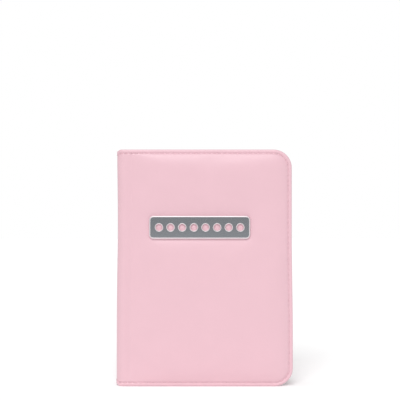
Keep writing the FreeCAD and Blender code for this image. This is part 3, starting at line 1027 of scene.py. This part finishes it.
def leather_material(name, color):
    """Soft polyurethane leather: fine pebbled grain, a satin coat and slightly polished edges."""
    recipe = Recipe(name, color, 0.42)
    grain = recipe.ramp(recipe.cells(0.62), 0.0, 0.28)
    creases = recipe.noise(1.7, detail=4.0)
    worn = recipe.node("ShaderNodeAttribute", attribute_name="wear")
    rubbed = recipe.math("MULTIPLY", worn.outputs["Fac"], recipe.noise(3.5))
    tone = recipe.math("MULTIPLY", recipe.noise(14.0, detail=2.0), 0.8)
    recipe.tint(recipe.math("ADD", tone, rubbed), 0.975, 1.03)
    recipe.vary_roughness(recipe.math("SUBTRACT", recipe.noise(2.4), rubbed), 0.06)
    normal = recipe.bump(grain, 0.012)
    recipe.bump(creases, 0.03, normal)
    recipe.shader.inputs["Sheen Weight"].default_value = 0.08
    recipe.shader.inputs["Sheen Roughness"].default_value = 0.5
    return recipe.material


def cloth_material(name, color, pitch_mm):
    """A plain weave with its thread pitch, its low places between the threads darkened as painted shade."""
    recipe = Recipe(name, color, 0.8)
    height = None
    for direction in ("X", "Y"):
        wave = recipe.node("ShaderNodeTexWave", bands_direction=direction)
        wave.inputs["Scale"].default_value = math.pi / 10 / (pitch_mm * MM)
        wave.inputs["Distortion"].default_value = 0.6
        wave.inputs["Detail"].default_value = 1.0
        recipe.link(recipe.place, wave.inputs["Vector"])
        thread = wave.outputs["Fac"]
        height = thread if height is None else recipe.math("MAXIMUM", height, thread)
    # painted shade: the weave is coloured darker in its low places between the threads and lighter on the
    # raised threads
    recipe.tint(height, 0.82, 1.05)
    normal = recipe.bump(height, 0.05)
    recipe.bump(recipe.noise(6.0), 0.08, normal)
    recipe.shader.inputs["Sheen Weight"].default_value = 0.25
    return recipe.material


def thread_material():
    """Polyester sewing thread: fine fibres along a satin strand."""
    recipe = Recipe("sewing_thread", (0.70, 0.44, 0.495), 0.5)
    fibres = recipe.noise(0.12, detail=2.0)
    recipe.tint(fibres, 0.85, 1.1)
    recipe.bump(fibres, 0.02)
    recipe.shader.inputs["Sheen Weight"].default_value = 0.2
    return recipe.material


def metal_material(name, color, roughness, scratch_mm=0.25):
    """Polished metal with faint polishing marks and uneven gloss."""
    recipe = Recipe(name, color, roughness)
    recipe.shader.inputs["Metallic"].default_value = 1.0
    stretch = recipe.node("ShaderNodeMapping")
    stretch.inputs["Scale"].default_value = (0.06, 1.0, 1.0)
    recipe.link(recipe.place, stretch.inputs["Vector"])
    recipe.place = stretch.outputs["Vector"]
    marks = recipe.noise(scratch_mm, detail=5.0, rough=0.6)
    recipe.tint(recipe.noise(5.0, detail=2.0), 0.93, 1.07)
    recipe.vary_roughness(marks, roughness * 0.3)
    recipe.bump(marks, 0.0012)
    return recipe.material


def plain_material(name, color, roughness, grain_mm, deep_mm):
    """Board, foam, plastic and other inner parts: an even colour with the material's own grain."""
    recipe = Recipe(name, color, roughness, unrolled=False)
    grain = recipe.noise(grain_mm, detail=4.0)
    recipe.tint(grain, 0.86, 1.1)
    recipe.vary_roughness(grain, 0.05)
    recipe.bump(grain, deep_mm)
    return recipe.material


def floor_material():
    """A plain white floor that glows a little, so that only contact shadows show on it."""
    recipe = Recipe("studio_floor", (0.93, 0.93, 0.93), 0.6, unrolled=False)
    recipe.shader.inputs["Specular IOR Level"].default_value = 0.2
    recipe.shader.inputs["Emission Color"].default_value = (1, 1, 1, 1)
    recipe.shader.inputs["Emission Strength"].default_value = FLOOR_GLOW
    return recipe.material


# --- Making the holder ---
LEATHER_MATERIAL = leather_material("pink_leather", PINK)
POCKET_MATERIAL = leather_material("pocket_leather", tuple(c * 0.97 for c in PINK))
LINING_MATERIAL = cloth_material("lining_cloth", (0.62, 0.42, 0.46), 0.42)
THREAD_MATERIAL = thread_material()
FOAM_MATERIAL = plain_material("foam", (0.8, 0.8, 0.76), 0.9, 0.5, 0.1)
FACE_METAL = metal_material("dark_badge_metal", (0.278, 0.292, 0.312), 0.12)
CUT_METAL = metal_material("bright_cut_metal", (0.76, 0.70, 0.72), 0.58)
CAD_MATERIALS = {
    "front_board": plain_material("greyboard_front", (0.3, 0.28, 0.25), 0.85, 0.8, 0.05),
    "back_board": plain_material("greyboard_back", (0.3, 0.28, 0.25), 0.85, 0.8, 0.05),
    "spine_stiffener": plain_material("stiffener_plastic", (0.75, 0.75, 0.75), 0.5, 0.6, 0.02),
    "badge_washers": plain_material("washer_steel", (0.55, 0.55, 0.56), 0.35, 0.3, 0.01),
}


def bend_with_spine(piece, side):
    """Bakes a piece's placement into its mesh. The points where its cover ends and where the spine's flat
    begins, both at half height, are worked out but not used.
    """
    cover, spine = (Vector(rest_points(side, s, HEIGHT / 2, 0)[0] * MM) for s in (FLAT + BEND, FLAT))
    if side == FRONT:
        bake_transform(piece)
    else:
        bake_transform(piece)


def make_skins():
    """The padded skins, the foam under them, the lining and the edge seam of both covers."""
    for side, word in ((FRONT, "front"), (BACK, "back")):
        field = padding(side)
        skin = cover_leather(f"{word}_cover_leather", side, field, LEATHER_MATERIAL)
        cloth = sewn_sheet(
            f"{word}_lining_cloth", side, *LINED, upright(0.0), lining_heights, LINING_MATERIAL,
            "lining_cloth", rigid=False, joined=True,
        )
        seam = edge_stitches(f"{word}_edge_stitches", side, THREAD_MATERIAL)
        for piece in (skin, cloth, seam):
            bend_with_spine(piece, side)
        foam = foam_pad(f"{word}_foam", side, field, FOAM_MATERIAL)
        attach(foam, f"{word}_cover")
        for piece, node in zip((skin, cloth, seam), ("outer_skin", "lining", "edge_stitching")):
            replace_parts(piece, f"{word}_{node}", *([f"spine_{node}"] if side == FRONT else []))
        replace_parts(foam, f"{word}_foam_pad")


def make_pockets():
    """The slip pocket and card slots inside the front cover and the sleeve inside the back cover."""
    low, _, corner = LINED
    slip = sewn_sheet(
        "slip_pocket_panel", FRONT, *LINED, upright(SLIP_START), slip_heights, LINING_MATERIAL,
        "lining_cloth",
    )
    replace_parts(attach(slip, "front_cover"), "slip_pocket")
    for number, word in enumerate(SLOT_NAMES):
        base = SLOT_BASES[number]
        name = f"card_slot_{word}"
        slot = sewn_sheet(
            f"{name}_leather", FRONT, base, base + SLOT_TALL, corner if base == low else 0,
            upright(SLOT_START), slot_faces(number), POCKET_MATERIAL, "pocket_leather",
        )
        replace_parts(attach(slot, "front_cover"), name)
    threads = stitches("card_slot_stitches", FRONT, slot_runs(), THREAD_MATERIAL, rigid=True)
    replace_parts(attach(threads, "front_cover"), "card_slot_stitching")
    sleeve = sewn_sheet(
        "passport_sleeve_leather", BACK, *LINED, sleeve_mouth, sleeve_heights, POCKET_MATERIAL,
        "pocket_leather",
    )
    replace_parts(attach(sleeve, "back_cover"), "passport_sleeve")
    threads = stitches("sleeve_stitches", BACK, sleeve_runs(), THREAD_MATERIAL, rigid=True)
    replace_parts(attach(threads, "back_cover"), "sleeve_stitching")


def dress_cad_nodes():
    """Materials for the CAD parts that stay: boards, stiffener and washers."""
    for node, material in CAD_MATERIALS.items():
        data = frame["nodes"][node].data
        data.materials.clear()
        data.materials.append(material)


# --- Studio ---
CAMERA_DISTANCE = 0.5307  # in front of the pad
CAMERA_HEIGHT = 0.11013
CAMERA_SIDE = -0.0026
LENS_MM = 81.1
FLOOR_SIZE = 4.0
FLOOR_GLOW = 0.12
SURROUND = 0.64
KEY_POWER = 1.8
KEY_SPREAD = 35  # degrees across
KEY_UP = 46
KEY_AROUND = -8


def world_light():
    """An even white surround, seen at full white and softer as light, which the key light adds to."""
    world = bpy.data.worlds.new("studio")
    world.use_nodes = True
    nodes, links = world.node_tree.nodes, world.node_tree.links
    seen = nodes["Background"]
    seen.inputs["Color"].default_value = (1, 1, 1, 1)
    lighting = nodes.new("ShaderNodeBackground")
    lighting.inputs["Color"].default_value = (1, 1, 1, 1)
    lighting.inputs["Strength"].default_value = SURROUND
    mix = nodes.new("ShaderNodeMixShader")
    links.new(nodes.new("ShaderNodeLightPath").outputs["Is Camera Ray"], mix.inputs["Fac"])
    links.new(lighting.outputs[0], mix.inputs[1])
    links.new(seen.outputs[0], mix.inputs[2])
    links.new(mix.outputs[0], nodes["World Output"].inputs["Surface"])
    bpy.context.scene.world = world


def key_light():
    """A large soft light high in front, far enough away to light the whole floor evenly."""
    data = bpy.data.lights.new("key", "SUN")
    data.energy = KEY_POWER
    data.angle = math.radians(KEY_SPREAD)
    light = bpy.data.objects.new("key", data)
    up, around = math.radians(KEY_UP), math.radians(KEY_AROUND)
    toward = Vector((math.sin(around) * math.cos(up), -math.cos(around) * math.cos(up), math.sin(up)))
    light.rotation_euler = toward.to_track_quat("Z", "Y").to_euler()
    bpy.context.scene.collection.objects.link(light)


def studio():
    """White floor and surround, a soft light above the front, and the camera."""
    bpy.ops.mesh.primitive_plane_add(size=FLOOR_SIZE)
    floor = bpy.context.object
    floor.name = "floor"
    floor.data.materials.append(floor_material())
    world_light()
    key_light()
    camera_data = bpy.data.cameras.new("camera")
    camera_data.lens = LENS_MM
    camera = bpy.data.objects.new("camera", camera_data)
    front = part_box("front_outer_skin")[0].y
    camera.location = (CAMERA_SIDE, front - CAMERA_DISTANCE, CAMERA_HEIGHT)
    camera.rotation_euler = (math.pi / 2, 0, 0)
    bpy.context.scene.collection.objects.link(camera)
    bpy.context.scene.camera = camera
    bpy.context.scene.view_settings.view_transform = "Standard"


make_skins()
make_pockets()
make_badge()
dress_cad_nodes()
studio()
